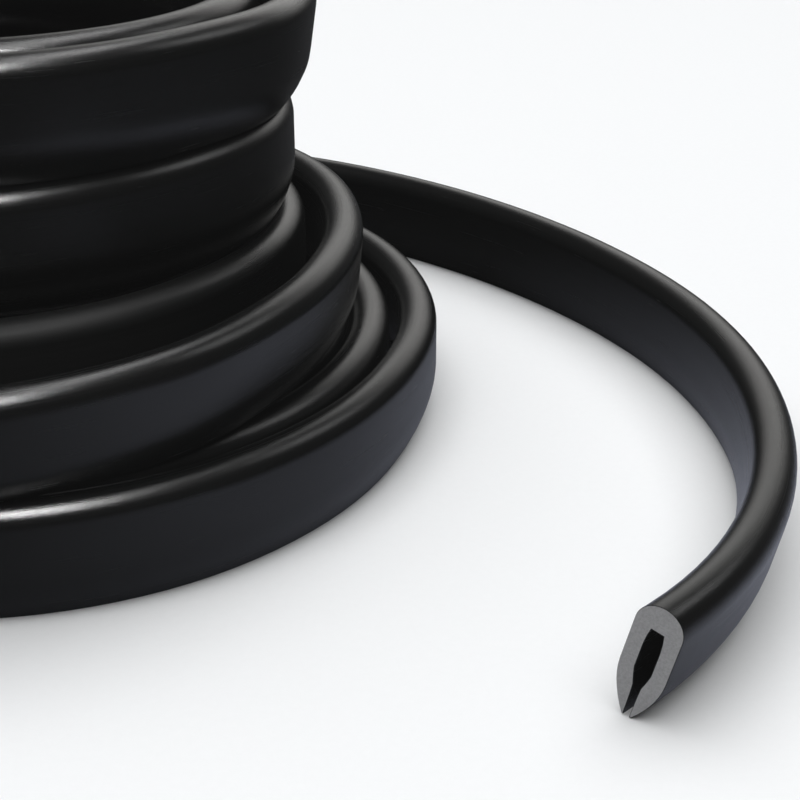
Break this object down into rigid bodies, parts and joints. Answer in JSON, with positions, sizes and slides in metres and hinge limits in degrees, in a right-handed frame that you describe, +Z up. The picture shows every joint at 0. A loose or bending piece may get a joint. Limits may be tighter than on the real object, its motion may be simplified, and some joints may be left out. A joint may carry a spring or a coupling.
{
  "type": "edge trim seal",
  "caption": "Flexible black rubber edge trim with a U section that pushes onto a sheet's edge, stored as a stacked coil with a loose tail and a square-cut end.",
  "frame": {"origin": "on the floor, under the middle of the whole object's box", "axes": "+Z up along the coil's axis, from the legs to the crown of the trim; +X to the side where the tail swings out; -Y towards the cut end"},
  "size_m": [0.1508, 0.139, 0.052],
  "materials": {
    "black_rubber": "satin black extruded skin, fine lengthwise lines and light scuffs; matt dark grey where it is cut"
  },
  "bodies": {
    "root": {"edge_trim": "black_rubber"}
  },
  "joints": []
}
